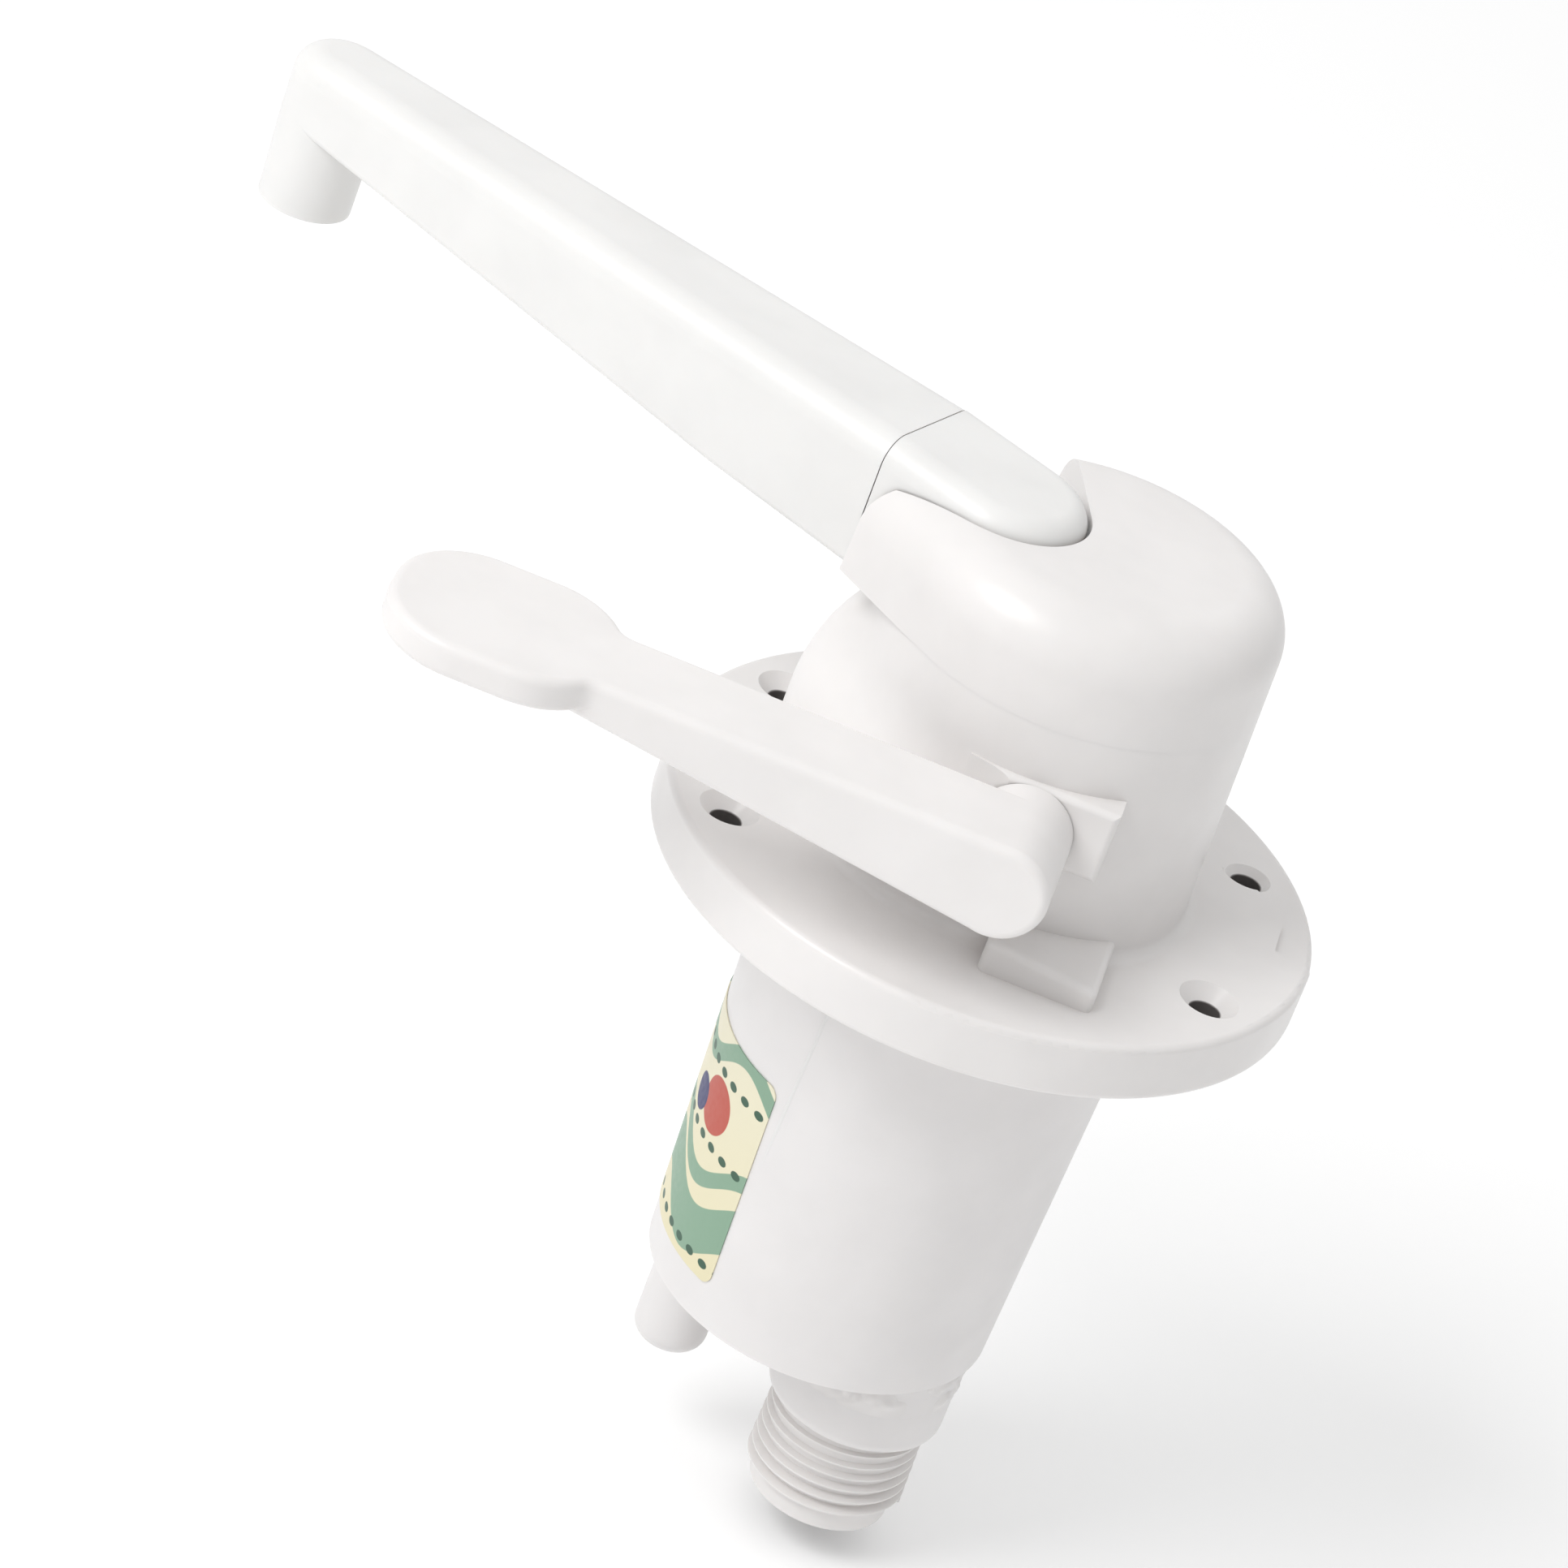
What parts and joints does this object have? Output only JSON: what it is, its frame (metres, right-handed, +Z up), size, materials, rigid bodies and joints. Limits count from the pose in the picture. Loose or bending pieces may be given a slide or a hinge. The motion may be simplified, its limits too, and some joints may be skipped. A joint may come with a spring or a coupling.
{
  "type": "hand pump faucet",
  "caption": "Deck-mounted hand pump faucet with a swivel spout, a side lever that works a piston through a crank, and a threaded inlet under a round barrel.",
  "frame": {"origin": "centre of the flange underside, on the axis of the round body, where it meets the deck", "axes": "+Z up out of the deck, -X along the hand lever towards the user's side, -Y the side that carries the lever"},
  "size_m": [0.1541, 0.0908, 0.1413],
  "materials": {
    "white_plastic": "smooth moulded plastic, soft gloss",
    "grey_plastic": "plain moulded plastic",
    "seal_rubber": "matte",
    "stainless": "turned",
    "label_print": "printed vinyl label"
  },
  "bodies": {
    "root": {"faucet_body": "white_plastic", "hood": "white_plastic", "barrel": "white_plastic", "barrel_base": "white_plastic", "barrel_seal": "seal_rubber", "inlet_fitting": "white_plastic", "town_water_tube": "white_plastic", "town_valve_seat": "grey_plastic", "pump_cylinder": "grey_plastic", "suction_valve_seat": "grey_plastic", "rod_guide": "grey_plastic", "shaft_bush": "grey_plastic", "spout_clip": "stainless", "front_label": "label_print"},
    "lever": {"hand_lever": "white_plastic", "lever_screw": "stainless", "lever_shaft": "stainless", "outer_shaft_seal": "seal_rubber", "inner_shaft_seal": "seal_rubber", "crank_arm": "stainless", "crank_pin": "stainless", "crank_screw": "stainless"},
    "piston": {"piston": "grey_plastic", "lower_piston_cup": "seal_rubber", "upper_piston_cup": "seal_rubber", "piston_retainer": "grey_plastic", "piston_nut": "stainless", "piston_rod": "stainless", "yoke_nut": "stainless", "rod_yoke": "grey_plastic"},
    "spout": {"spout_elbow": "white_plastic", "spout_arm": "white_plastic", "lower_spout_seal": "seal_rubber", "upper_spout_seal": "seal_rubber"},
    "suction_disc": {"suction_valve": "seal_rubber"},
    "piston_disc": {"piston_valve": "seal_rubber"},
    "town_disc": {"town_valve": "seal_rubber"}
  },
  "joints": [
    {"name": "lever_hinge", "type": "hinge", "parent": "root", "child": "lever", "pos_m": [0.0025, -0.02, 0.024], "axis": [0, 1, 0], "range_deg": [-12, 60]},
    {"name": "piston_slide", "type": "slide", "parent": "root", "child": "piston", "axis": [0, 0, 1], "range_m": [-0.01204, 0.00241]},
    {"name": "spout_swivel", "type": "hinge", "parent": "root", "child": "spout", "pos_m": [-0.0125, 0, 0.025], "axis": [0, 0, 1], "range_deg": [-50, 0]},
    {"name": "suction_valve_lift", "type": "slide", "parent": "root", "child": "suction_disc", "axis": [0, 0, 1], "range_m": [0, 0.002]},
    {"name": "piston_valve_lift", "type": "slide", "parent": "piston", "child": "piston_disc", "axis": [0, 0, 1], "range_m": [0, 0.00145]},
    {"name": "town_valve_lift", "type": "slide", "parent": "root", "child": "town_disc", "axis": [0, 0, 1], "range_m": [0, 0.0015]}
  ],
  "couplings": [
    {"joint": "lever_hinge", "follows": "piston_slide", "rad_per_m": -86.957}
  ]
}
